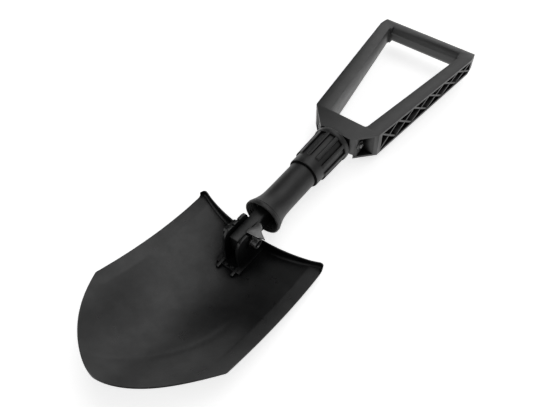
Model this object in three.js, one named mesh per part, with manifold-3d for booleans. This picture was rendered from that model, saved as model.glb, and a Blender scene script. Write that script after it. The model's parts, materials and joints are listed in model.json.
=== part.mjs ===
// Folding camp shovel: pointed dished blade, flared shaft tube, locking collar and
// folding D-handle. Millimetres, +Z up, +X from the blade's point to the handle's grip.
// Everything is drawn about the shaft's axis with the blade pivot at zero, and the whole
// tool is then moved so that the origin is the middle of its footprint.
import * as THREE from 'three';
import { mergeVertices } from 'three/addons/utils/BufferGeometryUtils.js';
import Module from 'manifold-3d';

const wasm = await Module();
wasm.setup();

// ---- driving dimensions ----
const GAP = 0.3;                     // running and assembly gap between pieces
const TURN = 180 / Math.PI;

const TIP_X = -202.1;                // blade's point
const SHOULDER_X = -127.0;           // where the straight sides turn into the nose
const BLADE_HALF_WIDTH = 85.5;
const BLADE_SHEET = 1.8;
const EDGE_LOW_Z = -18.0;            // side edge beside the hinge
const EDGE_RISE = 31.4;              // side edge's climb over EDGE_RUN
const EDGE_RUN = 140.0;
const EDGE_START_X = 10.0;
const DISH_AT_HINGE = 7.5;
const DISH_AT_NOSE = 22.0;
const DISH_RUN = 140.0;
const BORDER = 15.5;                 // flatter strip along each side, strongest at the hinge
const BORDER_SHARE = 0.1;            // share of the dish taken up across the border
const BORDER_WEIGHT = 0.85;
const BORDER_FADE_X = -70.0;
const BORDER_FADE_RUN = 90.0;
const STEP_CENTRE_X = 12.0;          // top edge at the middle
const STEP_SWEEP = 10.5;             // how far the top edge sweeps back at STEP_SWEEP_Y
const STEP_SWEEP_Y = 70.0;
const STEP_EDGE_Z = -13.6;           // top of the turned-up foot step
const STEP_HORN_RISE = 1.0;
const HORN_ROUND = 6.0;
const STEP_BEND = 5.5;               // where the step's bend fades into the pan
const STEP_NOTCH = { half: 7.0, floor: -18.6 };  // lets the tang's nose swing past the step
const BLADE_ROWS = 25;
const BLADE_COLUMNS = 24;

const PIVOT_PIN_R = 3.6;
const TANG_HALF = 5.65;
const TANG_TOP = 13.3;
const TANG_FRONT = -16.2;
const TANG_NECK_X = 48.0;
const TANG_NECK_HALF = 9.0;
const TANG_END_X = 74.0;
const TANG_PIN_X = 62.0;
const CROSS_PIN_R = 2.5;
const EAR_INNER = 7.0;
const EAR_OUTER = 10.2;
const EAR_ROUND_R = 13.4;
const BRACKET_BOTTOM = -24.3;
const BRACKET_TOP = -22.7;
const BASE_FRONT_X = -31.0;
const BASE_REAR_X = 9.4;
const BASE_PLATE_HALF = 15.5;
const WING_RISE = 0.9;               // the base plate's wings rise towards their edges
const TOE_FRONT_X = -36.5;
const TOE_INNER = 8.2;
const TOE_OUTER = 11.4;
const TOE_TOP = -21.8;
const RIVET_R = 1.6;
const RIVET_HEAD_R = 2.5;
const RIVET_Y = 3.7;
const RIVET_XS = { front: -27.5, rear: 5.5 };

const TUBE_R = 17.0;
const TUBE_BORE = 14.5;
const TUBE_END_X = 164.0;
const BELL_X = 29.0;
const BELL_R = 22.4;

const COLLAR_BORE = TUBE_R + GAP + 0.05;
const COLLAR_FRONT = 105.2;
const COLLAR_REAR = 164.3;
const BAND_R = 19.4;                 // plain front band
const RIB_FRONT = 117.5;
const RIB_REAR = 157.0;
const RIB_FLOOR_R = 20.0;            // between the ribs, at their rear ends
const RIB_TOP_FRONT_R = 21.2;
const RIB_TOP_REAR_R = 22.2;
const RIB_COUNT = 11;
const RIB_HALF = 6.7 / TURN;
const RIB_PHASE = 115.7 / TURN;
const COLLAR_RING_R = 23.1;
const SEAL_SEAT_X = 108.6;
const SEAL_SEAT_DEPTH = 1.2;
const BUSH_SEAT_X = 158.6;
const BUSH_SEAT_R = 20.4;
const STOP_RING_X = 103.7;

const HANDLE_PIN_X = 180.0;
const HANDLE_PIN_R = 3.3;
const CHEEK_R = 15.0;                // material near the handle pin stays inside this radius
const TONGUE_HALF = 10.4;
const TONGUE_THICK = 10.0;
const TONGUE_PIN_X = 150.0;
const CLEVIS_HALF = 12.2;            // slot for the tongue
const CHEEK_OUTER = 24.1;
const BASE_X = 167.6;
const BASE_HALF = 20.5;
const SHOULDER_HANDLE_X = 193.4;
const SHOULDER_HALF = 44.5;
const WINDOW_X = 195.0;
const WINDOW_HALF = 25.3;
const SIDE_POCKET = { x0: 173.5, x1: 189.6, front: 25.3, inner: 27.0, outer: 70.0, rim: 2.8 };
const GRIP_INNER_X = 379.0;
const WINDOW_TOP_HALF = 52.4;
const CORNER_X = 381.0;
const CORNER_HALF = 68.0;
const GRIP_OUTER_X = 401.0;
const GRIP_END_HALF = 65.5;
const HANDLE_FRONT = 15.5;
const HANDLE_BACK = -18.6;
const GRIP_FRONT = 10.0;
const GRIP_BACK = -13.0;
const GRIP_ROUND = 9.5;
const PLATE_THICK = 3.2;
const WALL = 3.2;
const TRUSS_DEPTH = 11.0;
const TRUSS_CELLS = 6;
const TRUSS_RIB = 2.2;

// ---- materials ----
function finish(color, roughness, metalness) {
  return new THREE.MeshStandardMaterial({ color, roughness, metalness });
}
const COATED_STEEL = finish(0x2b2c2e, 0.55, 0.25);
const TUBE_BLACK = finish(0x333437, 0.45, 0.35);
const NYLON = finish(0x2a2b2d, 0.62, 0.0);
const BARE_STEEL = finish(0x77797c, 0.4, 0.9);
const LEVER_GREY = finish(0x8a8b8d, 0.5, 0.4);
const SEAL_RUBBER = finish(0x111111, 0.8, 0.0);

// ---- solid helpers ----
function closedMesh(geometry) {
  const bare = geometry.clone();
  bare.deleteAttribute('normal');
  bare.deleteAttribute('uv');
  return mergeVertices(bare, 1e-4);
}

function signedVolume(geometry) {
  const p = geometry.attributes.position;
  const index = geometry.index.array;
  const a = new THREE.Vector3();
  const b = new THREE.Vector3();
  const c = new THREE.Vector3();
  let sum = 0;
  for (let i = 0; i < index.length; i += 3) {
    a.fromBufferAttribute(p, index[i]);
    b.fromBufferAttribute(p, index[i + 1]);
    c.fromBufferAttribute(p, index[i + 2]);
    sum += a.dot(b.cross(c)) / 6;
  }
  return sum;
}

function solid(geometry) {
  const mesh = closedMesh(geometry);
  const triVerts = Uint32Array.from(mesh.index.array);
  if (signedVolume(mesh) < 0) {
    for (let i = 0; i < triVerts.length; i += 3) {
      const first = triVerts[i];
      triVerts[i] = triVerts[i + 1];
      triVerts[i + 1] = first;
    }
  }
  const vertProperties = Float32Array.from(mesh.attributes.position.array);
  return new wasm.Manifold(new wasm.Mesh({ numProp: 3, vertProperties, triVerts }));
}

function geometryOf(manifold) {
  const mesh = manifold.getMesh();
  const geometry = new THREE.BufferGeometry();
  geometry.setAttribute('position', new THREE.BufferAttribute(mesh.vertProperties, 3));
  geometry.setIndex(new THREE.BufferAttribute(mesh.triVerts, 1));
  geometry.computeVertexNormals();
  return geometry;
}

function extrude(points, depth) {
  const shape = points instanceof THREE.Shape
    ? points
    : new THREE.Shape(points.map(([u, v]) => new THREE.Vector2(u, v)));
  return new THREE.ExtrudeGeometry(shape, { depth, bevelEnabled: false, curveSegments: 10 });
}

// outline in plan, raised from z0 to z1
function plate(points, z0, z1) {
  return solid(extrude(points, z1 - z0).translate(0, 0, z0));
}

// side profile of [x, z] points, spread from y0 to y1
function profile(points, y0, y1) {
  return solid(extrude(points, y1 - y0).rotateX(Math.PI / 2).translate(0, y1, 0));
}

// cross-section of [y, z] points, run from x0 to x1
function section(points, x0, x1) {
  const turn = new THREE.Matrix4().makeBasis(
    new THREE.Vector3(0, 1, 0), new THREE.Vector3(0, 0, 1), new THREE.Vector3(1, 0, 0));
  return solid(extrude(points, x1 - x0).applyMatrix4(turn).translate(x0, 0, 0));
}

function box(x0, x1, y0, y1, z0, z1) {
  const geometry = new THREE.BoxGeometry(x1 - x0, y1 - y0, z1 - z0);
  return solid(geometry.translate((x0 + x1) / 2, (y0 + y1) / 2, (z0 + z1) / 2));
}

function lathe(points, segments) {
  return new THREE.LatheGeometry(points.map(([r, h]) => new THREE.Vector2(r, h)), segments);
}

// closed profile of [x, r] points turned about the shaft's axis
function turnedX(points, segments = 40) {
  return solid(lathe(points.map(([x, r]) => [r, x]), segments).rotateZ(-Math.PI / 2));
}

// closed profile of [y, r] points turned about a cross pin's axis at x, z
function turnedY(points, x, z, segments = 20) {
  return solid(lathe(points.map(([y, r]) => [r, y]), segments).translate(x, 0, z));
}

// closed profile of [z, r] points turned about an upright axis at x, y
function turnedZ(points, x, y, segments = 14) {
  return solid(lathe(points.map(([z, r]) => [r, z]), segments).rotateX(Math.PI / 2)
    .translate(x, y, 0));
}

function ring(along0, along1, inner, outer) {
  return [[along0, inner], [along0, outer], [along1, outer], [along1, inner], [along0, inner]];
}

function rod(along0, along1, radius) {
  return [[along0, 0], [along0, radius], [along1, radius], [along1, 0]];
}

function mirrored(half) {
  return half.concat(half.slice().reverse().map(([x, y]) => [x, -y]));
}

const tool = new THREE.Group();

function piece(name, manifold, material, group = tool) {
  const mesh = new THREE.Mesh(geometryOf(manifold), material);
  mesh.name = name;
  group.add(mesh);
}

function smoothstep(t) {
  const s = Math.min(Math.max(t, 0), 1);
  return s * s * (3 - 2 * s);
}

// ---- blade ----
// half-width of the outline: nearly parallel sides, then a parabola-like nose
function bladeHalf(x) {
  if (x > SHOULDER_X) {
    const along = (x - SHOULDER_X) / (STEP_CENTRE_X - SHOULDER_X);
    return BLADE_HALF_WIDTH - 1.0 * along * along;
  }
  const s = Math.max((x - TIP_X) / (SHOULDER_X - TIP_X), 0);
  const power = 0.49 + 0.09 * (1 - s) ** 3;
  return Math.max(BLADE_HALF_WIDTH * s ** power, 1.5);
}

// share of the dish's depth at u, which runs from 0 in the middle to 1 at the side
function dishShare(x, u) {
  const strip = 1 - BORDER / BLADE_HALF_WIDTH;
  const pan = u > strip
    ? BORDER_SHARE * (1 - u) / (1 - strip)
    : BORDER_SHARE + (1 - BORDER_SHARE) * (1 - (u / strip) ** 2.1);
  const weight = BORDER_WEIGHT * (1 - smoothstep((BORDER_FADE_X - x) / BORDER_FADE_RUN));
  return weight * pan + (1 - weight) * (1 - u * u) ** 2;
}

function bladeZ(x, y) {
  const run = Math.max(EDGE_START_X - x, 0) / EDGE_RUN;
  const edge = EDGE_LOW_Z + EDGE_RISE * run ** 1.82;
  const grow = smoothstep((EDGE_START_X - x) / DISH_RUN);
  const dish = DISH_AT_HINGE + (DISH_AT_NOSE - DISH_AT_HINGE) * grow;
  return edge - dish * dishShare(x, Math.min(Math.abs(y) / BLADE_HALF_WIDTH, 1));
}

function topEdgeX(y) {
  const side = Math.abs(y);
  const sweep = STEP_CENTRE_X + STEP_SWEEP * (side / STEP_SWEEP_Y) ** 2.2;
  const past = Math.min(Math.max(side - (BLADE_HALF_WIDTH - 1 - HORN_ROUND), 0), HORN_ROUND);
  return sweep - (HORN_ROUND - Math.sqrt(HORN_ROUND ** 2 - past ** 2)) * 1.1;
}

// front face of the sheet: across runs -1..1, along runs 0 (top edge) to 1 (point)
function bladePoint(across, along) {
  const rows = [[0, 1], [0.35, 0.62], [1.0, 0.25], [2.6, 0.03]];
  const edgeY = across * (BLADE_HALF_WIDTH - 1);
  const top = topEdgeX(edgeY);
  if (along < rows.length) {
    const [inset, lift] = rows[along];
    const x = top - inset;
    const floor = bladeZ(x, edgeY);
    const side = Math.abs(edgeY);
    const crest = STEP_EDGE_Z + STEP_HORN_RISE * smoothstep((side - 68) / 12);
    return new THREE.Vector3(x, across * bladeHalf(x), floor + (crest - floor) * lift);
  }
  const t = (along - rows.length + 1) / (BLADE_ROWS - rows.length);
  const x = TIP_X + (top - STEP_BEND - TIP_X) * (1 - t) ** 1.5;
  const y = across * bladeHalf(x);
  return new THREE.Vector3(x, y, bladeZ(x, y));
}

function bladeSheet() {
  const front = [];
  for (let j = 0; j < BLADE_ROWS; j += 1) {
    for (let i = 0; i <= BLADE_COLUMNS; i += 1) {
      front.push(bladePoint(2 * i / BLADE_COLUMNS - 1, j));
    }
  }
  const width = BLADE_COLUMNS + 1;
  const at = (i, j) => front[j * width + i];
  const back = front.map((point, n) => {
    const i = n % width;
    const j = Math.floor(n / width);
    const acrossStep = at(Math.min(i + 1, width - 1), j).clone()
      .sub(at(Math.max(i - 1, 0), j));
    const alongStep = at(i, Math.min(j + 1, BLADE_ROWS - 1)).clone()
      .sub(at(i, Math.max(j - 1, 0)));
    const normal = alongStep.cross(acrossStep).normalize();
    if (normal.z < 0) normal.negate();
    normal.y = 0;
    normal.normalize();
    return point.clone().addScaledVector(normal, -BLADE_SHEET);
  });
  const all = front.concat(back);
  const shift = front.length;
  const triangles = [];
  const quad = (a, b, c, d) => triangles.push(a, b, c, a, c, d);
  for (let j = 0; j + 1 < BLADE_ROWS; j += 1) {
    for (let i = 0; i < BLADE_COLUMNS; i += 1) {
      const n = j * width + i;
      quad(n, n + 1, n + 1 + width, n + width);
      quad(n + shift, n + width + shift, n + 1 + width + shift, n + 1 + shift);
    }
    const left = j * width;
    const right = left + BLADE_COLUMNS;
    quad(left, left + width, left + width + shift, left + shift);
    quad(right, right + shift, right + width + shift, right + width);
  }
  const last = (BLADE_ROWS - 1) * width;
  for (let i = 0; i < BLADE_COLUMNS; i += 1) {
    quad(i, i + shift, i + 1 + shift, i + 1);
    quad(last + i, last + i + 1, last + i + 1 + shift, last + i + shift);
  }
  const geometry = new THREE.BufferGeometry();
  geometry.setAttribute('position', new THREE.Float32BufferAttribute(
    all.flatMap((p) => [p.x, p.y, p.z]), 3));
  geometry.setIndex(triangles);
  return solid(geometry);
}

function rivetPlaces() {
  const places = [];
  for (const [end, x] of Object.entries(RIVET_XS)) {
    places.push({ name: `rivet_${end}_left`, x, y: RIVET_Y });
    places.push({ name: `rivet_${end}_right`, x, y: -RIVET_Y });
  }
  return places;
}

function buildBlade() {
  const { half, floor } = STEP_NOTCH;
  let sheet = bladeSheet().subtract(box(5, 20, -half, half, floor, 0));
  for (const { x, y } of rivetPlaces()) {
    sheet = sheet.subtract(turnedZ(rod(-40, 0, RIVET_R + GAP), x, y));
  }
  piece('blade', sheet, COATED_STEEL);
}

// U-shaped hinge bracket: tall stepped left ear with a lug, lower right ear, toed base
function buildBracket() {
  const ground = BRACKET_BOTTOM;
  const foot = [[10, -12], [BASE_REAR_X, -20], [BASE_REAR_X, ground]];
  const leftEar = [
    [-24, ground], [-24, -3.5], [-22.4, 11], [-20.5, 15.5], [-17.5, 18.3], [-14.5, 20],
    [-7.5, 20], [-7.2, 18.6], [-5.6, 18.6], [-5.3, 20], [0.5, 20], [0.8, 18.6],
    [2.4, 18.6], [2.7, 20], [9, 20], [12.5, 18.5], [14.8, 15], [16, 10],
  ].concat(foot);
  const arc = [];
  for (let angle = 105; angle >= 0; angle -= 15) {
    arc.push([EAR_ROUND_R * Math.cos(angle / TURN), EAR_ROUND_R * Math.sin(angle / TURN)]);
  }
  const rightEar = [
    [-24, ground], [-24, -3.5], [-22.8, 6], [-21, 11], [-18, 14.2], [-14, 15.4],
    [-6, 15.4], [-5.4, 14.8], [-5.2, 12.6],
  ].concat(arc, foot);
  const lug = [
    [-16.8, 9], [-16.5, 17.8], [-14.5, 19.6], [-8, 19.2], [-7.2, 18.2], [1, 17.4],
    [2, 16.4], [2, 9],
  ];
  let bracket = profile(leftEar, EAR_INNER, EAR_OUTER)
    .add(profile(rightEar, -EAR_OUTER, -EAR_INNER))
    .add(profile(lug, EAR_OUTER - 0.2, EAR_OUTER + 3.2));
  const wing = mirrored([
    [ground, BASE_PLATE_HALF], [BRACKET_TOP + WING_RISE, BASE_PLATE_HALF],
    [BRACKET_TOP, EAR_OUTER - 1],
  ]).map(([z, y]) => [y, z]);
  bracket = bracket.add(section(wing, BASE_FRONT_X, BASE_REAR_X));
  for (const y0 of [TOE_INNER, -TOE_OUTER]) {
    const y1 = y0 + TOE_OUTER - TOE_INNER;
    bracket = bracket.add(box(TOE_FRONT_X, -22, y0, y1, ground, TOE_TOP));
  }
  bracket = bracket.subtract(turnedY(rod(-30, 30, PIVOT_PIN_R + GAP), 0, 0));
  for (const { x, y } of rivetPlaces()) {
    bracket = bracket.subtract(turnedZ(rod(-40, 0, RIVET_R + GAP), x, y));
  }
  piece('hinge_bracket', bracket, COATED_STEEL);
}

function buildRivets() {
  const head = BRACKET_TOP + GAP;
  for (const { name, x, y } of rivetPlaces()) {
    const tail = bladeZ(x, y) - BLADE_SHEET - 0.1 - GAP;
    const outline = [
      [head + 1.0, 0], [head + 0.9, RIVET_HEAD_R * 0.6], [head + 0.4, RIVET_HEAD_R],
      [head, RIVET_HEAD_R], [head, RIVET_R], [tail, RIVET_R], [tail, RIVET_HEAD_R],
      [tail - 0.4, RIVET_HEAD_R * 0.7], [tail - 0.5, 0],
    ];
    piece(name, turnedZ(outline, x, y), COATED_STEEL);
  }
}

// ---- blade pivot ----
function buildPivot() {
  const headIn = EAR_OUTER + GAP;
  const pin = turnedY([
    [headIn + 2.6, 0], [headIn + 2.6, 5.6], [headIn + 1.8, 6.4], [headIn, 6.4],
    [headIn, PIVOT_PIN_R], [-17.2, PIVOT_PIN_R], [-17.2, 0],
  ], 0, 0);
  piece('pivot_pin', pin, COATED_STEEL);
  for (const [side, sign] of [['left', 1], ['right', -1]]) {
    const y = sign * (TANG_HALF + EAR_INNER) / 2;
    const washer = ring(y - 0.35, y + 0.35, PIVOT_PIN_R + GAP, 8.4);
    piece(`pivot_washer_${side}`, turnedY(washer, 0, 0), BARE_STEEL);
  }
  const clip = ring(-17.0, -16.2, PIVOT_PIN_R + 0.1, 4.6);
  piece('pivot_clip', turnedY(clip, 0, 0), COATED_STEEL);
}

// ---- thumb lever over the right ear ----
function buildLever() {
  const inner = -EAR_OUTER - GAP;
  const outer = -18.7;
  const springRoom = 5.5;
  const clipRoom = 4.9;
  const hub = turnedY([
    [inner, springRoom], [inner, 6.9], [-12.6, 6.9], [-13, 6.1], [-14.2, 5.7],
    [outer + 0.4, 5.7], [outer, 5.4], [outer, clipRoom], [-15.9, clipRoom],
    [-15.9, PIVOT_PIN_R + GAP], [-13.4, PIVOT_PIN_R + GAP], [-13.4, springRoom],
    [inner, springRoom],
  ], 0, 0);
  const thumb = plate([
    [-3, -6.1], [-2.9, -7.5], [-1.6, -20.5], [0.4, -22.4], [1.1, -27.3], [3.2, -23.8],
    [5.9, -19.5], [8, -17.5], [11, -16], [14.2, -12], [13.5, -9], [10.7, -8.2],
    [5.2, -7.5], [5.2, -6.1],
  ], 14.0, 15.8);
  const web = box(-2.4, 4.2, -13.2, inner, 5.0, 14.4);
  const bore = turnedY(rod(-30, 0, PIVOT_PIN_R + GAP), 0, 0);
  const springSeat = turnedY(rod(-13.4, inner + 0.1, springRoom), 0, 0);
  const lever = hub.add(thumb.add(web).subtract(bore).subtract(springSeat));
  piece('lock_lever', lever, LEVER_GREY);

  const turns = 1.75;
  const points = [];
  for (let n = 0; n <= 36; n += 1) {
    const angle = n / 36 * turns * 2 * Math.PI;
    const y = inner - 0.65 - n / 36 * 1.4;
    points.push(new THREE.Vector3(4.7 * Math.cos(angle), y, 4.7 * Math.sin(angle)));
  }
  const wire = new THREE.Shape();
  wire.absarc(0, 0, 0.38, 0, 2 * Math.PI);
  const coil = new THREE.ExtrudeGeometry(wire, {
    steps: 44,
    curveSegments: 3,
    bevelEnabled: false,
    extrudePath: new THREE.CatmullRomCurve3(points),
  });
  piece('lever_spring', solid(coil), BARE_STEEL);
}

// ---- shaft ----
function buildShaft() {
  const tube = turnedX([
    [BELL_X + 1.0, BELL_R], [BELL_X + 4.5, BELL_R - 0.1], [BELL_X + 6.0, 21.6],
    [BELL_X + 9.0, 20.7], [BELL_X + 12.0, 19.6], [BELL_X + 16.0, 18.3],
    [BELL_X + 20.0, 17.5], [BELL_X + 25.0, 17.1], [BELL_X + 31.0, TUBE_R],
    [TUBE_END_X, TUBE_R], [TUBE_END_X, TUBE_BORE], [BELL_X + 26.0, TUBE_BORE],
    [BELL_X + 19.0, 15.3], [BELL_X + 12.0, 17.4], [BELL_X + 6.0, 19.6],
    [BELL_X, 20.6], [BELL_X, 21.6], [BELL_X + 1.0, BELL_R],
  ]);
  const keeperHole = turnedY(rod(-30, 30, CROSS_PIN_R + GAP), TONGUE_PIN_X, 0, 16);
  piece('shaft_tube', tube.subtract(keeperHole), TUBE_BLACK);

  const bar = profile([
    [TANG_FRONT, -8], [TANG_FRONT, TANG_TOP], [TANG_NECK_X - 4, TANG_TOP],
    [TANG_NECK_X, TANG_NECK_HALF], [TANG_END_X, TANG_NECK_HALF],
    [TANG_END_X, -TANG_NECK_HALF], [TANG_NECK_X, -TANG_NECK_HALF],
    [TANG_NECK_X - 3, -12], [-10.5, -12],
  ], -TANG_HALF, TANG_HALF);
  const pivotHole = turnedY(rod(-30, 30, PIVOT_PIN_R + GAP), 0, 0);
  const crossHole = turnedY(rod(-30, 30, CROSS_PIN_R + GAP), TANG_PIN_X, 0, 16);
  piece('tang', bar.subtract(pivotHole).subtract(crossHole), COATED_STEEL);

  const plug = turnedX(rod(56, 76, TUBE_BORE - GAP), 36);
  const slotY = TANG_HALF + GAP;
  const slotZ = TANG_NECK_HALF + GAP;
  const slot = box(50, TANG_END_X + GAP, -slotY, slotY, -slotZ, slotZ);
  piece('tang_plug', plug.subtract(slot).subtract(crossHole), NYLON);
  piece('tang_pin', turnedY(rod(-12.6, 12.6, CROSS_PIN_R), TANG_PIN_X, 0, 16), BARE_STEEL);

  const plugEnd = turnedX(rod(128, 163.2, TUBE_BORE - GAP), 36);
  const eye = turnedY(rod(-TONGUE_HALF, TONGUE_HALF, TONGUE_THICK), HANDLE_PIN_X, 0, 32);
  const neck = box(160, HANDLE_PIN_X, -TONGUE_HALF, TONGUE_HALF, -TONGUE_THICK, TONGUE_THICK);
  const tongue = plugEnd.add(neck).add(eye)
    .subtract(turnedY(rod(-30, 30, HANDLE_PIN_R + GAP), HANDLE_PIN_X, 0))
    .subtract(keeperHole);
  piece('handle_tongue', tongue, NYLON);
  piece('tongue_pin', turnedY(rod(-16.6, 16.6, CROSS_PIN_R), TONGUE_PIN_X, 0, 16), BARE_STEEL);
  const stopSeat = TUBE_R + 0.25;
  const stop = [
    [STOP_RING_X, stopSeat], [STOP_RING_X, 17.8], [STOP_RING_X + 0.3, 18.1],
    [STOP_RING_X + 1.1, 18.1], [STOP_RING_X + 1.1, stopSeat], [STOP_RING_X, stopSeat],
  ];
  piece('collar_stop_ring', turnedX(stop), SEAL_RUBBER);
}

// ---- locking collar ----
function ribOutline() {
  const points = [];
  const pitch = 2 * Math.PI / RIB_COUNT;
  const root = BAND_R - 0.5;
  const top = RIB_TOP_REAR_R + 1;
  for (let n = 0; n < RIB_COUNT; n += 1) {
    for (const [offset, radius] of [[-1.05, root], [-0.9, top], [0.9, top], [1.05, root]]) {
      const angle = RIB_PHASE + n * pitch + offset * RIB_HALF;
      points.push([radius * Math.cos(angle), radius * Math.sin(angle)]);
    }
  }
  return points;
}

function buildCollar() {
  const sealSeatR = COLLAR_BORE + SEAL_SEAT_DEPTH;
  const body = turnedX([
    [COLLAR_FRONT, sealSeatR], [COLLAR_FRONT, 18.9], [COLLAR_FRONT + 0.8, BAND_R],
    [RIB_FRONT, BAND_R], [RIB_REAR, RIB_FLOOR_R], [RIB_REAR + 0.3, COLLAR_RING_R - 0.8],
    [RIB_REAR + 1.3, COLLAR_RING_R], [COLLAR_REAR - 0.6, COLLAR_RING_R],
    [COLLAR_REAR, COLLAR_RING_R - 0.7], [COLLAR_REAR, BUSH_SEAT_R], [BUSH_SEAT_X, BUSH_SEAT_R],
    [BUSH_SEAT_X, COLLAR_BORE], [SEAL_SEAT_X, COLLAR_BORE], [SEAL_SEAT_X, sealSeatR],
    [COLLAR_FRONT, sealSeatR],
  ], 44);
  const ribEnd = RIB_REAR + 0.8;
  const ribRoom = turnedX([
    [RIB_FRONT, BAND_R - 0.8], [RIB_FRONT, BAND_R], [RIB_FRONT + 1.8, RIB_TOP_FRONT_R],
    [ribEnd, RIB_TOP_REAR_R], [ribEnd, BAND_R - 0.8], [RIB_FRONT, BAND_R - 0.8],
  ], 44);
  const ribs = section(ribOutline(), RIB_FRONT, ribEnd).intersect(ribRoom);
  piece('collar', body.add(ribs), NYLON);
  const seal = ring(COLLAR_FRONT + 0.6, SEAL_SEAT_X - 0.6, TUBE_R + 0.1, sealSeatR - GAP);
  piece('collar_seal', turnedX(seal, 36), SEAL_RUBBER);
  const bush = ring(BUSH_SEAT_X + 0.6, COLLAR_REAR, TUBE_R + GAP, BUSH_SEAT_R - GAP);
  piece('lock_bush', turnedX(bush), BARE_STEEL);
}

// ---- D-handle ----
function frontZ(x) {
  const share = Math.max(x - SHOULDER_HANDLE_X, 0) / (GRIP_OUTER_X - SHOULDER_HANDLE_X);
  return HANDLE_FRONT + (GRIP_FRONT - HANDLE_FRONT) * share;
}

function backZ(x) {
  const share = Math.max(x - SHOULDER_HANDLE_X, 0) / (GRIP_INNER_X - SHOULDER_HANDLE_X);
  return HANDLE_BACK + (GRIP_BACK - HANDLE_BACK) * Math.min(share, 1);
}

function sideSlab(inset) {
  const ends = [150, SHOULDER_HANDLE_X, GRIP_INNER_X, 420];
  const top = ends.map((x) => [x, frontZ(x) - inset]);
  const bottom = ends.slice().reverse().map((x) => [x, backZ(x) + inset]);
  return profile(top.concat(bottom), -90, 90);
}

function windowOutline() {
  const corner = 3;
  return mirrored([
    [WINDOW_X, WINDOW_HALF - corner], [WINDOW_X + 0.9, WINDOW_HALF - 0.9],
    [WINDOW_X + corner, WINDOW_HALF + 0.2], [GRIP_INNER_X - corner, WINDOW_TOP_HALF - 0.3],
    [GRIP_INNER_X - 0.7, WINDOW_TOP_HALF - 1.0], [GRIP_INNER_X, WINDOW_TOP_HALF - corner],
  ]);
}

// pockets in the outer side of one arm, crossed by X ribs
function trussedArm(frame, sign) {
  const slope = (CORNER_HALF - SHOULDER_HALF) / (CORNER_X - SHOULDER_HANDLE_X);
  const start = SHOULDER_HANDLE_X + 6;
  const end = CORNER_X + 4;
  const edge = (x) => SHOULDER_HALF + slope * (x - SHOULDER_HANDLE_X);
  const band = [
    [start, sign * (edge(start) - TRUSS_DEPTH)], [end, sign * (edge(end) - TRUSS_DEPTH)],
    [end, sign * (edge(end) + 12)], [start, sign * (edge(start) + 12)],
  ];
  const pocket = plate(band, -40, 40).intersect(sideSlab(WALL));
  const cell = (end - start) / TRUSS_CELLS;
  let ribs = null;
  for (let n = 0; n < TRUSS_CELLS; n += 1) {
    const x0 = start + n * cell;
    const x1 = x0 + cell;
    const low = backZ(x0) + WALL;
    const high = frontZ(x1) - WALL;
    for (const [za, zb] of [[low, high], [frontZ(x0) - WALL, backZ(x1) + WALL]]) {
      const lean = new THREE.Vector2(-(zb - za), cell).setLength(TRUSS_RIB / 2);
      const over = new THREE.Vector2(cell, zb - za).setLength(1.5);
      const strip = profile([
        [x0 - over.x + lean.x, za - over.y + lean.y], [x0 - over.x - lean.x, za - over.y - lean.y],
        [x1 + over.x - lean.x, zb + over.y - lean.y], [x1 + over.x + lean.x, zb + over.y + lean.y],
      ], sign > 0 ? 0 : -90, sign > 0 ? 90 : 0);
      ribs = ribs ? ribs.add(strip) : strip;
    }
  }
  const outerFace = plate([
    [start - 2, sign * (edge(start - 2) - TRUSS_DEPTH - 1)],
    [end + 2, sign * (edge(end + 2) - TRUSS_DEPTH - 1)],
    [end + 2, sign * (edge(end + 2) - 0.8)], [start - 2, sign * (edge(start - 2) - 0.8)],
  ], -40, 40);
  const cage = ribs.intersect(outerFace).intersect(frame);
  return frame.subtract(pocket).add(cage);
}

// what rounding the grip's corner at x, z takes away; dx and dz point into the grip
function cornerWaste(x, z, dx, dz) {
  const waste = [[x - dx, z - dz], [x - dx, z + dz * GRIP_ROUND]];
  for (let angle = 0; angle <= 90; angle += 10) {
    const along = GRIP_ROUND * (1 - Math.cos(angle / TURN));
    const depth = GRIP_ROUND * (1 - Math.sin(angle / TURN));
    waste.push([x + dx * along, z + dz * depth]);
  }
  waste.push([x + dx * GRIP_ROUND, z - dz]);
  return waste;
}

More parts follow.
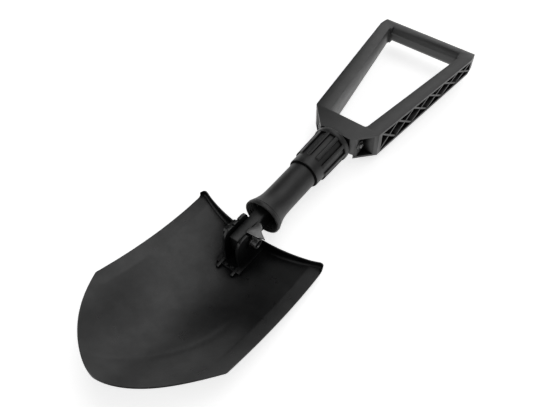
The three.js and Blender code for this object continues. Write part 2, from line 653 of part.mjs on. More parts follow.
function buildHandle() {
  const outline = mirrored([
    [BASE_X, BASE_HALF], [SHOULDER_HANDLE_X, SHOULDER_HALF], [CORNER_X, CORNER_HALF],
    [GRIP_OUTER_X - 5, GRIP_END_HALF + 0.4], [GRIP_OUTER_X - 2, GRIP_END_HALF - 0.9],
    [GRIP_OUTER_X - 0.5, GRIP_END_HALF - 3.2], [GRIP_OUTER_X, GRIP_END_HALF - 6],
  ]);
  let frame = plate(outline, HANDLE_BACK, HANDLE_FRONT).intersect(sideSlab(0));
  frame = frame.subtract(plate(windowOutline(), -40, 40));
  const plateBack = HANDLE_FRONT - PLATE_THICK;
  frame = frame.subtract(box(160, WINDOW_X + 0.5, -CLEVIS_HALF, CLEVIS_HALF, -40, plateBack));
  const swing = box(160, WINDOW_X + 1.5, -CHEEK_OUTER, CHEEK_OUTER, -40, 0)
    .subtract(turnedY(rod(-50, 50, CHEEK_R), HANDLE_PIN_X, 0, 40));
  frame = frame.subtract(swing);
  frame = frame.subtract(turnedY(rod(-40, 40, HANDLE_PIN_R + GAP), HANDLE_PIN_X, 0));
  const { x0, x1, front, inner, outer, rim } = SIDE_POCKET;
  const mouth = [
    [BASE_X - 1, front], [x0, front], [x0 + 1.7, inner], [x1, inner], [x1, outer],
    [BASE_X - 1, outer],
  ];
  for (const sign of [1, -1]) {
    const side = mouth.map(([x, y]) => [x, sign * y]);
    frame = frame.subtract(plate(side, HANDLE_BACK + rim, HANDLE_FRONT - rim));
    frame = trussedArm(frame, sign);
  }
  const barCorners = [
    [GRIP_OUTER_X, GRIP_FRONT, -1, -1], [GRIP_OUTER_X, GRIP_BACK, -1, 1],
    [GRIP_INNER_X, frontZ(GRIP_INNER_X), 1, -1], [GRIP_INNER_X, GRIP_BACK, 1, 1],
  ];
  for (const [x, z, dx, dz] of barCorners) {
    const half = dx > 0 ? WINDOW_TOP_HALF - 3 : CORNER_HALF + 5;
    frame = frame.subtract(profile(cornerWaste(x, z, dx, dz), -half, half));
  }
  piece('handle_frame', frame, NYLON);

  const headY = SIDE_POCKET.inner + GAP;
  const pin = turnedY([
    [headY + 2.2, 0], [headY + 2.2, 4.2], [headY + 1.4, 5.2], [headY, 5.2],
    [headY, HANDLE_PIN_R], [-31, HANDLE_PIN_R], [-31, 0],
  ], HANDLE_PIN_X, 0);
  piece('handle_pin', pin, BARE_STEEL);
  const clip = ring(-28.3, -headY, HANDLE_PIN_R + 0.1, 5.6);
  piece('handle_pin_clip', turnedY(clip, HANDLE_PIN_X, 0), BARE_STEEL);
  for (const [side, sign] of [['left', 1], ['right', -1]]) {
    const y = sign * (TONGUE_HALF + CLEVIS_HALF) / 2;
    const washer = ring(y - 0.55, y + 0.55, HANDLE_PIN_R + GAP, 8);
    piece(`handle_washer_${side}`, turnedY(washer, HANDLE_PIN_X, 0), BARE_STEEL);
  }
}

buildBlade();
buildBracket();
buildRivets();
buildPivot();
buildLever();
buildShaft();
buildCollar();
buildHandle();

// origin in the middle of the footprint, on the plane the tool lies on
const extent = new THREE.Box3().setFromObject(tool);
tool.position.set(-(extent.min.x + extent.max.x) / 2, 0, -extent.min.z);

export default tool;
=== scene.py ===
"""Folding camp shovel, open and lying front up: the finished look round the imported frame.

Lengths are millimetres from the blade's pivot along the shaft's axis, and at() turns them
into metres in the frame. Body, slot and place of every piece come from the frame.
"""
import json
import math

import bmesh
import bpy
import numpy as np
from mathutils import Matrix, Vector

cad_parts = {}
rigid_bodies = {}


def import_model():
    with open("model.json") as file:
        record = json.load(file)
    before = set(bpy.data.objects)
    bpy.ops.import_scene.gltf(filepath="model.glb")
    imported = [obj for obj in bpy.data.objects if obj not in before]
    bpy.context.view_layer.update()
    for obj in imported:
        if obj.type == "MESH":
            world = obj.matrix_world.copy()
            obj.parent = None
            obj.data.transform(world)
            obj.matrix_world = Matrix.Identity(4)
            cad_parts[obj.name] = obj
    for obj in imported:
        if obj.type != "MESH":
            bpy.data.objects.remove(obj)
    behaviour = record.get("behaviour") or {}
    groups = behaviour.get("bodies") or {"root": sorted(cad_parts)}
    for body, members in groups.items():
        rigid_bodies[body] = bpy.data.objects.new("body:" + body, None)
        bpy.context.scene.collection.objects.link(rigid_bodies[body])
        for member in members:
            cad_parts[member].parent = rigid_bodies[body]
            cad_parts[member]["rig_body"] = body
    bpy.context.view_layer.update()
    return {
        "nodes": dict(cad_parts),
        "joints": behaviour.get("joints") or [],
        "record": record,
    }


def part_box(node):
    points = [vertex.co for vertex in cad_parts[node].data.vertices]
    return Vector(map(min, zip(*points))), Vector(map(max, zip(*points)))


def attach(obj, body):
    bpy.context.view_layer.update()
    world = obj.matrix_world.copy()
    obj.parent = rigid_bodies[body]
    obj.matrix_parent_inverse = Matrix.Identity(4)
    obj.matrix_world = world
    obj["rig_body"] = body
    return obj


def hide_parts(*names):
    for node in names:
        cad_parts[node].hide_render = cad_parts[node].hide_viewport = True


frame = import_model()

MM = 0.001
JOINTS = {joint["name"]: joint for joint in frame["joints"]}
SLOTS = {part["node"]: part["material_slot"] for part in frame["record"]["subparts"]}
PIVOT = Vector(JOINTS["blade_fold"]["pos_m"])
HANDLE_PIN_X = (JOINTS["handle_fold"]["pos_m"][0] - PIVOT.x) / MM


def at(x, y, z):
    """A place in the frame, in metres, from millimetres along, across and up from the pivot."""
    return PIVOT + Vector((x, y, z)) * MM


def span(node):
    """Lowest and highest corner of a CAD node in millimetres from the pivot."""
    low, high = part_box(node)
    return (low - PIVOT) / MM, (high - PIVOT) / MM


def smoothstep(t):
    """0 up to t = 0, 1 from t = 1, an S-curve between."""
    s = np.clip(t, 0.0, 1.0)
    return s * s * (3.0 - 2.0 * s)


# ---------------------------------------------------------------- materials
class Shader:
    """A node material built up step by step; every size in it is in metres."""

    def __init__(self, name):
        self.material = bpy.data.materials.new(name)
        self.material.use_nodes = True
        self.tree = self.material.node_tree
        self.tree.nodes.clear()
        self.surface = self.add("ShaderNodeBsdfPrincipled")
        output = self.add("ShaderNodeOutputMaterial")
        self.link(self.surface.outputs["BSDF"], output.inputs["Surface"])
        self.place = self.add("ShaderNodeTexCoord").outputs["Object"]

    def add(self, kind, **settings):
        node = self.tree.nodes.new(kind)
        for key, value in settings.items():
            setattr(node, key, value)
        return node

    def link(self, source, target):
        self.tree.links.new(source, target)

    def feed(self, target, value):
        """Links a socket or sets a plain value."""
        if isinstance(value, bpy.types.NodeSocket):
            self.link(value, target)
        else:
            target.default_value = value

    def noise(self, size, detail=4.0, roughness=0.55, stretch=(1, 1, 1)):
        """Noise whose blobs measure about size."""
        mapping = self.add("ShaderNodeMapping")
        self.link(self.place, mapping.inputs["Vector"])
        mapping.inputs["Scale"].default_value = stretch
        texture = self.add("ShaderNodeTexNoise")
        self.link(mapping.outputs["Vector"], texture.inputs["Vector"])
        texture.inputs["Scale"].default_value = 1.0 / size
        texture.inputs["Detail"].default_value = detail
        texture.inputs["Roughness"].default_value = roughness
        return texture.outputs["Fac"]

    def remap(self, value, low, high, to_low, to_high):
        """Stretches low..high to to_low..to_high and stops at both ends."""
        node = self.add("ShaderNodeMapRange")
        self.feed(node.inputs["Value"], value)
        for key, number in (("From Min", low), ("From Max", high),
                            ("To Min", to_low), ("To Max", to_high)):
            node.inputs[key].default_value = number
        return node.outputs["Result"]

    def combine(self, operation, a, b):
        node = self.add("ShaderNodeMath", operation=operation)
        self.feed(node.inputs[0], a)
        self.feed(node.inputs[1], b)
        return node.outputs["Value"]

    def mix(self, share, a, b):
        node = self.add("ShaderNodeMix", data_type="RGBA")
        self.feed(node.inputs["Factor"], share)
        self.feed(node.inputs["A"], a)
        self.feed(node.inputs["B"], b)
        return node.outputs["Result"]

    def edges(self, low=0.53, high=0.62):
        """1 on sharp outer edges, 0 on faces."""
        geometry = self.add("ShaderNodeNewGeometry")
        return self.remap(geometry.outputs["Pointiness"], low, high, 0.0, 1.0)

    def openness(self, reach, low=0.56, high=0.94):
        """1 on faces open to the room, 0 where parts within reach shut the light out."""
        occlusion = self.add("ShaderNodeAmbientOcclusion", samples=8)
        occlusion.inputs["Distance"].default_value = reach
        return self.remap(occlusion.outputs["AO"], low, high, 0.0, 1.0)

    def bump(self, height, depth, strength=1.0, normal=None):
        node = self.add("ShaderNodeBump")
        node.inputs["Distance"].default_value = depth
        node.inputs["Strength"].default_value = strength
        self.link(height, node.inputs["Height"])
        if normal is not None:
            self.link(normal, node.inputs["Normal"])
        return node.outputs["Normal"]

    def set(self, **values):
        names = {"color": "Base Color", "roughness": "Roughness", "metallic": "Metallic",
                 "normal": "Normal", "specular": "Specular IOR Level"}
        for key, value in values.items():
            self.feed(self.surface.inputs[names[key]], value)
        return self.material


def grey(level, warm=0.0):
    """A linear grey; a negative warm makes it slightly blue."""
    return (level * (1.0 + warm), level, level * (1.0 - warm), 1.0)


def coated_steel():
    """Satin black powder coat: fine orange peel, cloudy mottling, slight wear on edges, and painted
    shade that dims its reflections in hollows and between parts.
    """
    s = Shader("coated_steel")
    clouds = s.noise(0.030, 5.0)
    tone = s.mix(s.remap(clouds, 0.35, 0.65, 0.0, 1.0), grey(0.0045, -0.05), grey(0.008, -0.03))
    scuffs = s.remap(s.noise(0.006, 8.0, 0.7, (0.25, 1.0, 1.0)), 0.62, 0.74, 0.0, 0.3)
    tone = s.mix(scuffs, tone, grey(0.016))
    tone = s.mix(s.combine("MULTIPLY", s.edges(), 0.35), tone, grey(0.05))
    rough = s.remap(s.noise(0.012, 6.0), 0.3, 0.7, 0.27, 0.34)
    peel = s.bump(s.noise(0.0011, 2.0), 0.00005)
    waves = s.bump(s.noise(0.024, 2.0), 0.0003, 0.45, peel)
    shine = s.remap(s.noise(0.016, 7.0, 0.6), 0.35, 0.65, 0.46, 0.56)
    # Reflections fade where other parts lie within reach: painted shade in hollows, under parts and
    # between them.
    shine = s.combine("MULTIPLY", shine, s.openness(0.045, 0.62, 0.92))
    return s.set(color=tone, roughness=rough, normal=waves, specular=shine)


def anodised_tube():
    """Hard anodised aluminium: satin, with faint turning marks round the tube, and painted shade
    that dims its reflections in tight hollows.
    """
    s = Shader("anodised_tube")
    tone = s.mix(s.remap(s.noise(0.02, 4.0), 0.35, 0.65, 0.0, 1.0), grey(0.006), grey(0.010))
    tone = s.mix(s.combine("MULTIPLY", s.edges(), 0.3), tone, grey(0.05))
    rough = s.remap(s.noise(0.008, 5.0), 0.3, 0.7, 0.44, 0.52)
    turning = s.bump(s.noise(0.0012, 3.0, 0.6, (1.0, 0.05, 0.05)), 0.00001)
    grain = s.bump(s.noise(0.0006, 2.0), 0.00003, 0.6, turning)
    # Reflections fade in tight hollows such as the groove and the rings inside the mouth: painted
    # shade.
    shine = s.combine("MULTIPLY", s.openness(0.006), 0.5)
    return s.set(color=tone, roughness=rough, normal=grain, specular=shine)


def nylon():
    """Moulded glass-filled nylon: spark-eroded grain, flow clouding, paler corners that are partly
    wear and partly a painted highlight, and painted shade that dims its reflections in hollows.
    """
    s = Shader("nylon")
    tone = s.mix(s.remap(s.noise(0.025, 5.0), 0.35, 0.65, 0.0, 1.0), grey(0.006), grey(0.010))
    # 1 where light reaches a face freely, 0 in hollows, pockets and between parts.
    light_reach = s.openness(0.012, 0.56, 0.88)
    # Edges and narrow ribs made paler where light reaches them: partly wear, partly a painted
    # highlight.
    edge_wear_and_highlight = s.combine("MULTIPLY", s.edges(), s.combine("MULTIPLY", light_reach, 0.6))
    tone = s.mix(edge_wear_and_highlight, tone, grey(0.06))
    rough = s.remap(s.noise(0.010, 5.0), 0.3, 0.7, 0.38, 0.48)
    grain = s.bump(s.noise(0.0007, 3.0, 0.7), 0.00006)
    sink = s.bump(s.noise(0.022, 1.0), 0.00025, 0.4, grain)
    # Reflections fade in hollows, pockets and between parts: painted shade.
    shine = s.combine("MULTIPLY", light_reach, 0.5)
    return s.set(color=tone, roughness=rough, normal=sink, specular=shine)


def bare_steel():
    """Dull plated steel with fine scratches."""
    s = Shader("bare_steel")
    tone = s.mix(s.remap(s.noise(0.003, 6.0), 0.35, 0.65, 0.0, 1.0), grey(0.12), grey(0.20))
    rough = s.remap(s.noise(0.002, 5.0), 0.3, 0.7, 0.30, 0.48)
    scratch = s.bump(s.noise(0.0006, 4.0, 0.6, (1.0, 0.2, 1.0)), 0.00003)
    return s.set(color=tone, roughness=rough, metallic=1.0, normal=scratch)


def lever_grey():
    """Dull grey cast metal on the thumb lever."""
    s = Shader("lever_grey")
    tone = s.mix(s.remap(s.noise(0.006, 5.0), 0.35, 0.65, 0.0, 1.0), grey(0.13), grey(0.17))
    tone = s.mix(s.combine("MULTIPLY", s.edges(), 0.5), tone, grey(0.3))
    rough = s.remap(s.noise(0.004, 5.0), 0.3, 0.7, 0.32, 0.44)
    peel = s.bump(s.noise(0.0009, 2.0), 0.00005)
    return s.set(color=tone, roughness=rough, metallic=1.0, normal=peel)


def seal_rubber():
    """Matt black rubber with a dusty bloom."""
    s = Shader("seal_rubber")
    tone = s.mix(s.remap(s.noise(0.004, 5.0), 0.4, 0.7, 0.0, 1.0), grey(0.002), grey(0.004))
    grain = s.bump(s.noise(0.0005, 3.0), 0.00004)
    return s.set(color=tone, roughness=0.75, normal=grain, specular=0.08)


MATERIALS = {make.__name__: make() for make in (
    coated_steel, anodised_tube, nylon, bare_steel, lever_grey, seal_rubber)}


# ---------------------------------------------------------------- mesh helpers
def grid_faces(rows, columns, start=0, loop=False):
    """Quads over a grid of rows x columns points; loop joins the last column to the first."""
    faces = []
    for j in range(rows - 1):
        for i in range(columns if loop else columns - 1):
            k = (i + 1) % columns
            a, b = start + j * columns + i, start + j * columns + k
            faces.append((a, b, b + columns, a + columns))
    return faces


def piece(name, points, faces, node):
    """A smooth-shaded mesh piece that stands for a CAD node and rides on its body."""
    mesh = bpy.data.meshes.new(name)
    mesh.from_pydata([tuple(at(*p)) for p in points], [], faces)
    mesh.validate()
    mesh.shade_smooth()
    made = bpy.data.objects.new(name, mesh)
    bpy.context.scene.collection.objects.link(made)
    made.data.materials.append(MATERIALS[SLOTS[node]])
    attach(made, body_of(node))
    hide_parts(node)
    return made


def body_of(node):
    return frame["nodes"][node]["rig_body"]


def face_outwards(made, crisp=42):
    """Turns every face of a closed mesh outwards; edges over crisp degrees shade sharp."""
    work = bmesh.new()
    work.from_mesh(made.data)
    bmesh.ops.remove_doubles(work, verts=work.verts, dist=1e-7)
    bmesh.ops.recalc_face_normals(work, faces=work.faces)
    work.to_mesh(made.data)
    work.free()
    made.data.set_sharp_from_angle(angle=math.radians(crisp))
    return made


def turned(name, node, outline, axis="x", centre=(0.0, 0.0), segments=96):
    """A closed outline of (along, radius) points turned about an axis through centre."""
    points, rows = [], len(outline)
    for along, radius in outline:
        for k in range(segments):
            turn = 2.0 * math.pi * k / segments
            u, v = radius * math.cos(turn), radius * math.sin(turn)
            if axis == "x":
                points.append((along, centre[0] + u, centre[1] + v))
            elif axis == "y":
                points.append((centre[0] + u, along, centre[1] + v))
            else:
                points.append((centre[0] + u, centre[1] + v, along))
    faces = grid_faces(rows, segments, loop=True)
    last = (rows - 1) * segments
    if outline[0][1] == outline[-1][1] and outline[0][0] == outline[-1][0]:
        points = points[:last]
        faces = [tuple(i % last for i in face) for face in faces]
    else:
        faces.append(tuple(range(segments)))
        faces.append(tuple(range(last + segments - 1, last - 1, -1)))
    return face_outwards(piece(name, points, faces, node))


def rounded(corners, radius, steps=4):
    """A closed outline with each corner turned into an arc of about radius."""
    out = []
    count = len(corners)
    for n in range(count):
        here = Vector(corners[n])
        before = Vector(corners[n - 1]) - here
        after = Vector(corners[(n + 1) % count]) - here
        cut = min(radius, before.length * 0.45, after.length * 0.45)
        a, b = here + before.normalized() * cut, here + after.normalized() * cut
        for step in range(steps + 1):
            t = step / steps
            p = a * (1 - t) ** 2 + here * (2 * t * (1 - t)) + b * t * t
            out.append((p.x, p.y))
    out.append(out[0])
    return out


def soften(node, width, segments=2, angle=28):
    """A carried-over CAD node: joins its facets, rounds its edges and gives it its finish."""
    made = frame["nodes"][node]
    made.data.materials.clear()
    made.data.materials.append(MATERIALS[SLOTS[node]])
    for face in made.data.polygons:
        face.use_smooth = True
    weld = made.modifiers.new("weld", "WELD")
    weld.merge_threshold = 1e-6
    flat = made.modifiers.new("flat", "DECIMATE")
    flat.decimate_type = "DISSOLVE"
    flat.angle_limit = math.radians(1.0)
    bevel = made.modifiers.new("bevel", "BEVEL")
    bevel.width = width * MM
    bevel.segments = segments
    bevel.limit_method = "ANGLE"
    bevel.angle_limit = math.radians(angle)
    bevel.harden_normals = True
    return made


# ---------------------------------------------------------------- blade
TIP_X = -202.1
SHOULDER_X = -127.0  # the sides run nearly straight from the step to here, then curve in
HALF_WIDTH = 85.5
SHEET = 1.8
EDGE_BULGE = 0.32  # share of the sheet by which its rounded edge stands out
STEP_X = 12.0  # top edge in the middle of the blade
STEP_R = 3.9  # bend between the pan and the turned-up step
STEP_REACH = 5.5  # how far the step takes up the blade's length
CREST_Z = -13.6
BORDER = 15.5  # flatter strip along each side edge
RIM_SHARE = 0.2  # share of the dish's depth taken by that strip
DISH_AT_HINGE = 7.5
DISH_GAIN = 14.5
DISH_RUN = 140.0
NOTCH_HALF = 7.0
NOTCH_Z = -18.6
PRESS_LINE_RISE = 0.32


def blade_half(x):
    """Half the blade's width at x."""
    if x > SHOULDER_X:
        return HALF_WIDTH - ((x - SHOULDER_X) / (STEP_X - SHOULDER_X)) ** 2
    s = max((x - TIP_X) / (SHOULDER_X - TIP_X), 0.0)
    return max(HALF_WIDTH * s ** (0.49 + 0.09 * (1.0 - s) ** 3), 1.5)


def dish_share(x, u):
    """Share of the dish's depth at u (0 middle, 1 side edge), with a flatter strip outside."""
    strip = 1.0 - BORDER / HALF_WIDTH
    if u > strip:
        pan = RIM_SHARE * (1.0 - u) / (1.0 - strip)
    else:
        pan = RIM_SHARE + (1.0 - RIM_SHARE) * (1.0 - (u / strip) ** 2.1)
    crisp = 0.85 * (1.0 - float(smoothstep((-x - 70.0) / 90.0)))
    return crisp * pan + (1.0 - crisp) * (1.0 - u * u) ** 2


def blade_z(x, y):
    """Height of the blade's front face, without the turned-up step."""
    along = max(10.0 - x, 0.0) / DISH_RUN
    edge = -18.0 + 31.4 * along ** 1.82
    dish = DISH_AT_HINGE + DISH_GAIN * float(smoothstep(along))
    return edge - dish * dish_share(x, min(abs(y) / HALF_WIDTH, 1.0)) + press_line(x, -y)


def press_line(x, side):
    """A faint raised line left by the press, curving in from one side to the point."""
    curve = 47.0 - 0.0052 * (-81.0 - x) ** 2
    shown = float(smoothstep((-x - 66.0) / 24.0)) * float(smoothstep((x + 196.0) / 16.0))
    return PRESS_LINE_RISE * shown * math.exp(-(((side - curve) * 0.8 / 3.2) ** 2))


def crest_z(side):
    """Top of the turned-up step, lower in the middle where the tang swings past."""
    crest = CREST_Z + float(smoothstep((side - 68.0) / 12.0))
    return crest + (NOTCH_Z - crest) * (1.0 - float(smoothstep((side - NOTCH_HALF) / 1.2)))


def top_edge(y):
    """Top edge of the blade at y: swept back to the horns, whose corners are rounded."""
    side = abs(y)
    past = min(max(side - 78.5, 0.0), 6.0)
    return STEP_X + 10.5 * (side / 70.0) ** 2.2 - (6.0 - math.sqrt(36.0 - past * past)) * 1.1


def blade_skin(columns=150, rows=150):
    """The pressed sheet: dished pan, flatter border, turned-up foot step, rounded rim."""
    step = [(0.0, 1.0), (0.15, 0.86), (0.3, 0.72)]
    for n in range(9):
        turn = math.pi / 2.0 * n / 8.0
        step.append((0.4 + STEP_R * (1.0 - math.cos(turn)), 0.6 * (1.0 - math.sin(turn))))
    front = []
    for j in range(rows):
        for i in range(columns + 1):
            across = 2.0 * i / columns - 1.0
            edge_y = across * (HALF_WIDTH - 1.0)
            top = top_edge(edge_y)
            if j < len(step):
                inset, lift = step[j]
                x = top - inset
                floor = blade_z(x, edge_y)
                z = floor + (crest_z(abs(edge_y)) - floor) * lift
                front.append((x, across * blade_half(x), z))
            else:
                t = (j - len(step)) / (rows - 1 - len(step))
                x = TIP_X + (top - STEP_REACH - TIP_X) * (1.0 - t) ** 1.5
                y = across * blade_half(x)
                front.append((x, y, blade_z(x, y)))
    width = columns + 1
    top_side = np.array(front).reshape(rows, width, 3)
    along = np.gradient(top_side, axis=0)
    sideways = np.gradient(top_side, axis=1)
    normal = np.cross(sideways, along)
    normal *= np.sign(normal[..., 2:3] + 1e-9)
    normal[..., 1] = 0.0
    normal /= np.linalg.norm(normal, axis=2, keepdims=True)
    under = top_side - normal * SHEET
    points = [tuple(p) for p in top_side.reshape(-1, 3)] + [tuple(p) for p in under.reshape(-1, 3)]
    shift = rows * width
    faces = grid_faces(rows, width) + [f[::-1] for f in grid_faces(rows, width, shift)]
    ring = [(0, i) for i in range(width)] + [(j, columns) for j in range(1, rows)]
    ring += [(rows - 1, i) for i in range(columns - 1, -1, -1)]
    ring += [(j, 0) for j in range(rows - 2, 0, -1)]
    middle = len(points)
    for j, i in ring:
        inner = top_side[min(max(j, 1), rows - 2), min(max(i, 1), columns - 1)]
        centre = (top_side[j, i] + under[j, i]) / 2.0
        out = top_side[j, i] - inner
        out -= normal[j, i] * np.dot(out, normal[j, i])
        out /= max(np.linalg.norm(out), 1e-9)
        points.append(tuple(centre + out * SHEET * EDGE_BULGE))
    for n, (j, i) in enumerate(ring):
        k = (n + 1) % len(ring)
        a, b = j * width + i, ring[k][0] * width + ring[k][1]
        faces.append((a, middle + n, middle + k, b))
        faces.append((middle + n, a + shift, b + shift, middle + k))
    return face_outwards(piece("blade_skin", points, faces, "blade"))


# ---------------------------------------------------------------- shaft
TUBE_R = 17.0
TUBE_BORE = 14.5
MOUTH_X = 29.0  # front end of the flared mouth
MOUTH_FLARE = 5.4
BORE_FLARE = 6.0
LIP_R = 21.5  # middle of the rolled lip
BORE_RING = 0.45  # height of the rings inside the mouth
BORE_RING_PITCH = 2.4


def tube_shell():
    """Flared tube with a rolled lip, a groove behind it and rings inside the mouth."""
    end = span("shaft_tube")[1].x
    outline = []
    for step in range(9):
        turn = math.pi * step / 8.0
        outline.append((MOUTH_X + 1.1 - 1.1 * math.sin(turn), LIP_R - 0.95 * math.cos(turn)))
    outline += [(MOUTH_X + 3.4, 22.45), (MOUTH_X + 4.2, 22.3), (MOUTH_X + 4.6, 21.9),
                (MOUTH_X + 4.9, 21.5), (MOUTH_X + 5.4, 21.4), (MOUTH_X + 5.8, 21.6)]
    for step in range(28):
        x = MOUTH_X + 6.2 + 31.0 * step / 27.0
        outline.append((x, TUBE_R + MOUTH_FLARE * math.exp(-(((x - MOUTH_X - 1.0) / 12.5) ** 1.8))))
    outline += [(end - 0.6, TUBE_R), (end, TUBE_R - 0.6), (end, TUBE_BORE + 0.5),
                (end - 0.5, TUBE_BORE)]
    for step in range(60):
        x = MOUTH_X + 31.0 - 29.5 * step / 59.0
        rings = BORE_RING * max(math.sin(2.0 * math.pi * (x - MOUTH_X) / BORE_RING_PITCH), 0.0)
        fade = 1.0 - float(smoothstep((x - MOUTH_X - 14.0) / 6.0))
        outline.append((x, TUBE_BORE + BORE_FLARE * math.exp(-(((x - MOUTH_X) / 14.0) ** 1.9))
                        - rings * fade))
    outline.append(outline[0])
    return turned("tube_shell", "shaft_tube", outline, segments=128)


# ---------------------------------------------------------------- collar
RIB_FRONT = 117.5
RIB_REAR = 157.0
RIBS = 11
RIB_PHASE = math.radians(115.7)
RIB_HALF = math.radians(6.9)
BAND_R = 19.4  # plain front band


def rib_columns(between=8):
    """(turn, height) round the collar: each rib's flank and crown, then the plain gap."""
    shape = [(1.0, 0.0), (0.95, 0.3), (0.91, 0.65), (0.85, 0.88), (0.75, 0.98), (0.5, 1.0),
             (0.25, 1.0)]
    half = RIB_HALF
    pitch = 2.0 * math.pi / RIBS
    columns = []
    for n in range(RIBS):
        middle = RIB_PHASE + n * pitch
        columns += [(middle - offset * half, height) for offset, height in shape]
        columns.append((middle, 1.0))
        columns += [(middle + offset * half, height) for offset, height in reversed(shape)]
        gap = pitch - 2.0 * half
        columns += [(middle + half + gap * k / between, 0.0) for k in range(1, between)]
    return columns


def rib_level(along, floor):
    """Radius of a rib's crown: a short ramp at the front, then a slow rise to the back."""
    crown = 21.2 + (along - RIB_FRONT) / (RIB_REAR - RIB_FRONT)
    return floor + (crown - floor) * float(smoothstep((along - RIB_FRONT) / 1.9))


def collar_body():
    """Locking collar: plain front band, raised grip ribs and a plain ring at the back."""
    low, high = span("collar")
    front, rear = low.x, high.x
    bore = TUBE_R + 0.35
    seal_seat = (front + 3.4, bore + 1.2)
    bush_seat = (rear - 5.7, 20.4)
    outline = [(front + 0.05, seal_seat[1] + 0.1), (front, 18.85), (front + 0.15, 19.1),
               (front + 0.6, 19.33), (front + 1.4, BAND_R), (front + 5.0, BAND_R),
               (RIB_FRONT - 1.0, BAND_R), (RIB_FRONT - 0.3, BAND_R)]
    outline += [(RIB_FRONT + 0.25 * n, BAND_R) for n in range(10)]
    ramp = 2.5
    run = RIB_REAR - RIB_FRONT - ramp
    outline += [(RIB_FRONT + ramp + run * n / 30.0, BAND_R + 0.6 * n / 30.0) for n in range(31)]
    outline += [(RIB_REAR + 0.1, 20.3), (RIB_REAR + 0.25, 21.6), (RIB_REAR + 0.45, 22.2),
                (RIB_REAR + 0.8, 22.65), (RIB_REAR + 1.3, 22.95), (RIB_REAR + 2.0, 23.1),
                (rear - 0.9, 23.1), (rear - 0.3, 22.85), (rear, 22.3), (rear, 20.9),
                (rear - 0.4, 20.45), bush_seat, (bush_seat[0], bore), (seal_seat[0], bore),
                seal_seat, (front + 0.3, seal_seat[1])]
    columns = rib_columns()
    points = []
    for along, radius in outline:
        ribbed = RIB_FRONT <= along <= RIB_REAR + 1.0 and radius > 19.0
        crown = max(rib_level(along, radius), radius) if ribbed else radius
        for turn, height in columns:
            level = radius + (crown - radius) * height
            points.append((along, level * math.cos(turn), level * math.sin(turn)))
    faces = grid_faces(len(outline), len(columns), loop=True)
    last = (len(outline) - 1) * len(columns)
    for i in range(len(columns)):
        k = (i + 1) % len(columns)
        faces.append((last + i, last + k, k, i))
    return face_outwards(piece("collar_body", points, faces, "collar"))


def round_parts():
    """Pins, washers, clips and rings: turned parts with softened corners."""
    for name, node, gap, softness in (("stop_ring", "collar_stop_ring", 0.1, 0.5),
                                      ("seal_ring", "collar_seal", 0.1, 0.5),
                                      ("bush_ring", "lock_bush", 0.3, 0.4)):
        low, high = span(node)
        bore = TUBE_R + gap
        turned(name, node, rounded(
            [(low.x, bore), (low.x, high.z), (high.x, high.z), (high.x, bore)], softness))
    for side in ("left", "right"):
        for node, centre, bore in ((f"pivot_washer_{side}", 0.0, 3.9),
                                   (f"handle_washer_{side}", HANDLE_PIN_X, 3.6)):
            low, high = span(node)
            turned(f"{node}_disc", node, rounded(
                [(low.y, bore), (low.y, high.z), (high.y, high.z), (high.y, bore)], 0.15),
                "y", (centre, 0.0), 64)
    for node, centre, bore in (("pivot_clip", 0.0, 3.7), ("handle_pin_clip", HANDLE_PIN_X, 3.4)):
        low, high = span(node)
        turned(f"{node}_ring", node, rounded(
            [(low.y, bore), (low.y, high.z), (high.y, high.z), (high.y, bore)], 0.25),
            "y", (centre, 0.0), 64)
    for node, centre, shank in (("pivot_pin", 0.0, 3.6), ("handle_pin", HANDLE_PIN_X, 3.3)):
        low, high = span(node)
        head = high.z
        neck = high.y - (2.6 if node == "pivot_pin" else 2.2)
        outline = [(high.y, 0.02), (high.y, head * 0.72), (high.y - 0.3, head * 0.84),
                   (high.y - 0.9, head * 0.96), (high.y - 1.4, head), (neck + 0.2, head),
                   (neck, head - 0.2), (neck, shank), (low.y + 0.6, shank),
                   (low.y + 0.15, shank - 0.45), (low.y, shank - 0.9), (low.y, 0.02)]
        turned(f"{node}_turned", node, outline, "y", (centre, 0.0), 64)
    for node in ("tang_pin", "tongue_pin"):
        low, high = span(node)
        middle = (low.x + high.x) / 2.0
        outline = [(high.y, 0.02), (high.y, 1.9), (high.y - 0.5, 2.5), (low.y + 0.5, 2.5),
                   (low.y, 1.9), (low.y, 0.02)]
        turned(f"{node}_turned", node, outline, "y", (middle, 0.0), 48)
    for end in ("front", "rear"):
        for side in ("left", "right"):
            node = f"rivet_{end}_{side}"
            low, high = span(node)
            middle = ((low.x + high.x) / 2.0, (low.y + high.y) / 2.0)
            head = (high.x - low.x) / 2.0
            outline = [(high.z, 0.02), (high.z - 0.08, head * 0.45), (high.z - 0.35, head * 0.8),
                       (high.z - 0.7, head), (high.z - 1.0, head), (high.z - 1.0, 1.6),
                       (low.z + 0.5, 1.6), (low.z + 0.5, head), (low.z + 0.15, head * 0.75),
                       (low.z, 0.02)]
            turned(f"{node}_turned", node, outline, "z", middle, 48)


# ---------------------------------------------------------------- carried-over CAD parts
def machined_parts():
    """CAD nodes kept as they are, each with the width its edges are rounded by."""
    for node, width in (("hinge_bracket", 0.45), ("tang", 0.5), ("lock_lever", 0.35),
                        ("tang_plug", 0.3), ("handle_tongue", 0.4), ("handle_frame", 0.7),
                        ("lever_spring", 0.05)):
        soften(node, width)


# ---------------------------------------------------------------- stage, light, camera
FLOOR_REACH = 6.0  # metres
FLOOR_DROP = 0.0008  # metres; keeps the floor just clear of the parts that rest on it
FLOOR_TONE = 0.8
FLOOR_GLOW = 0.7


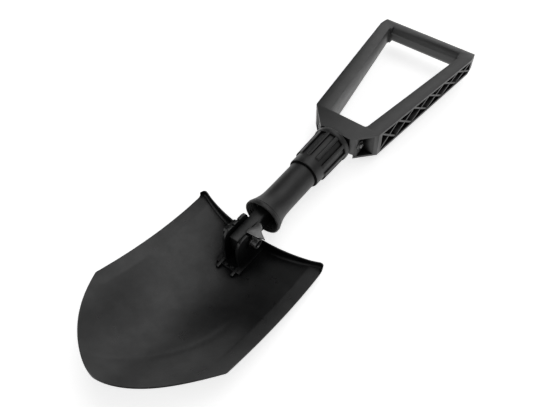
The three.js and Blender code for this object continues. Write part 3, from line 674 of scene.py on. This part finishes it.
def stage():
    """A plain white floor that glows a little, so that it stays pale under the dim dome."""
    mesh = bpy.data.meshes.new("floor")
    reach = FLOOR_REACH
    mesh.from_pydata([(-reach, -reach, 0), (reach, -reach, 0), (reach, reach, 0),
                      (-reach, reach, 0)], [], [(0, 1, 2, 3)])
    floor = bpy.data.objects.new("floor", mesh)
    floor.location.z = -FLOOR_DROP
    bpy.context.scene.collection.objects.link(floor)
    material = bpy.data.materials.new("floor")
    material.use_nodes = True
    tree = material.node_tree
    tree.nodes.clear()
    output = tree.nodes.new("ShaderNodeOutputMaterial")
    add = tree.nodes.new("ShaderNodeAddShader")
    diffuse = tree.nodes.new("ShaderNodeBsdfDiffuse")
    glow = tree.nodes.new("ShaderNodeEmission")
    diffuse.inputs["Color"].default_value = (FLOOR_TONE, FLOOR_TONE, FLOOR_TONE, 1)
    glow.inputs["Color"].default_value = (1, 1, 1, 1)
    glow.inputs["Strength"].default_value = FLOOR_GLOW
    tree.links.new(diffuse.outputs[0], add.inputs[0])
    tree.links.new(glow.outputs[0], add.inputs[1])
    tree.links.new(add.outputs[0], output.inputs["Surface"])
    mesh.materials.append(material)


SKY_FLOOR = 0.04
SOFTBOXES = (  # azimuth from +X towards +Y, elevation, full out to, faded at (degrees), radiance
    (5, 63, 19, 26, 1.2),
    (-70, 60, 18, 36, 0.8),
    (150, 32, 14, 28, 1.1),
    (17, 24, 15, 27, 0.92),
)
HORIZON = (0.16, 0.40, 0.5)  # heights between which the glow round the horizon fades, radiance


def joined(tree, operation, a, b):
    """The value of a maths node fed by sockets a and b."""
    node = tree.nodes.new("ShaderNodeMath")
    node.operation = operation
    tree.links.new(a, node.inputs[0])
    tree.links.new(b, node.inputs[1])
    return node.outputs["Value"]


def lights():
    """A dim studio dome with soft panels on it as smooth discs; the camera sees it white."""
    world = bpy.data.worlds.new("studio")
    bpy.context.scene.world = world
    world.use_nodes = True
    tree = world.node_tree
    direction = tree.nodes.new("ShaderNodeTexCoord").outputs["Generated"]
    total = tree.nodes.new("ShaderNodeValue").outputs[0]
    total.default_value = SKY_FLOOR
    for azimuth, elevation, full, faded, radiance in SOFTBOXES:
        a, e = math.radians(azimuth), math.radians(elevation)
        facing = tree.nodes.new("ShaderNodeVectorMath")
        facing.operation = "DOT_PRODUCT"
        tree.links.new(direction, facing.inputs[0])
        facing.inputs[1].default_value = (
            math.cos(a) * math.cos(e), math.sin(a) * math.cos(e), math.sin(e))
        panel = tree.nodes.new("ShaderNodeMapRange")
        panel.interpolation_type = "SMOOTHSTEP"
        panel.inputs["From Min"].default_value = math.cos(math.radians(faded))
        panel.inputs["From Max"].default_value = math.cos(math.radians(full))
        panel.inputs["To Max"].default_value = radiance
        tree.links.new(facing.outputs["Value"], panel.inputs["Value"])
        total = joined(tree, "ADD", panel.outputs["Result"], total)
    height = tree.nodes.new("ShaderNodeSeparateXYZ")
    tree.links.new(direction, height.inputs[0])
    low, high, radiance = HORIZON
    glow = tree.nodes.new("ShaderNodeMapRange")
    glow.interpolation_type = "SMOOTHSTEP"
    glow.inputs["From Min"].default_value = low
    glow.inputs["From Max"].default_value = high
    glow.inputs["To Min"].default_value = radiance
    glow.inputs["To Max"].default_value = 0.0
    tree.links.new(height.outputs["Z"], glow.inputs["Value"])
    total = joined(tree, "ADD", glow.outputs["Result"], total)
    seen = tree.nodes.new("ShaderNodeLightPath").outputs["Is Camera Ray"]
    total = joined(tree, "MAXIMUM", seen, total)
    background = tree.nodes["Background"]
    background.inputs["Color"].default_value = (1, 1, 1, 1)
    tree.links.new(total, background.inputs["Strength"])


CAMERA_AT = (-246.626, -250.269, 514.208)
CAMERA_FORWARD = (0.4656, 0.3852, -0.7967)
CAMERA_UP = (0.6426, 0.4719, 0.6037)
LENS = 38.39


def camera():
    """The photograph's viewpoint, from the blade's side of the tool, looking down on it."""
    data = bpy.data.cameras.new("camera")
    data.sensor_width = 36.0
    data.lens = LENS
    data.clip_start = 0.01
    view = bpy.data.objects.new("camera", data)
    view.location = at(*CAMERA_AT)
    forward = Vector(CAMERA_FORWARD).normalized()
    up = Vector(CAMERA_UP)
    right = forward.cross(up).normalized()
    up = right.cross(forward)
    view.rotation_mode = "QUATERNION"
    view.rotation_quaternion = Matrix((right, up, -forward)).transposed().to_quaternion()
    bpy.context.scene.collection.objects.link(view)
    bpy.context.scene.camera = view


bpy.context.scene.view_settings.view_transform = "Standard"
blade_skin()
tube_shell()
collar_body()
round_parts()
machined_parts()
stage()
lights()
camera()

bpy.context.view_layer.update()
